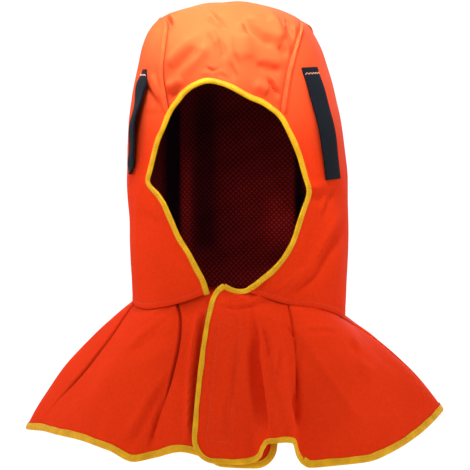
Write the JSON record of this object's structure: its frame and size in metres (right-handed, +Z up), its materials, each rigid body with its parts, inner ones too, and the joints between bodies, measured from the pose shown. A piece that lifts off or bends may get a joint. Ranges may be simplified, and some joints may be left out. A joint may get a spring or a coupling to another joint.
{
  "type": "welding hood",
  "caption": "Soft orange cloth welding hood with a bound face opening, mesh lining, side straps and a short flared cape that laps over at the front.",
  "frame": {"origin": "the top of the lining, where the crown rests on the head, on the hood's middle plane", "axes": "+Z up, -Y out of the face opening, +X towards the wearer's left"},
  "size_m": [0.4194, 0.3298, 0.4412],
  "materials": {
    "orange_drill": "flame-resistant cotton drill, dyed orange, soft sheen",
    "mesh_lining": "knitted mesh, black with dark red showing through",
    "yellow_binding": "folded bias tape, stitched",
    "navy_strap": "woven strap, fine pile",
    "black_closure": "hook-and-loop tape"
  },
  "bodies": {
    "root": {"crown_panel": "orange_drill", "side_panel_left": "orange_drill", "side_panel_right": "orange_drill", "cape": "orange_drill", "lining_crown": "mesh_lining", "lining_left": "mesh_lining", "lining_right": "mesh_lining", "face_binding": "yellow_binding", "front_binding": "yellow_binding", "hem_binding": "yellow_binding", "strap_left": "navy_strap", "strap_right": "navy_strap", "closure_loop_tape": "black_closure", "closure_hook_tape": "black_closure"}
  },
  "joints": []
}
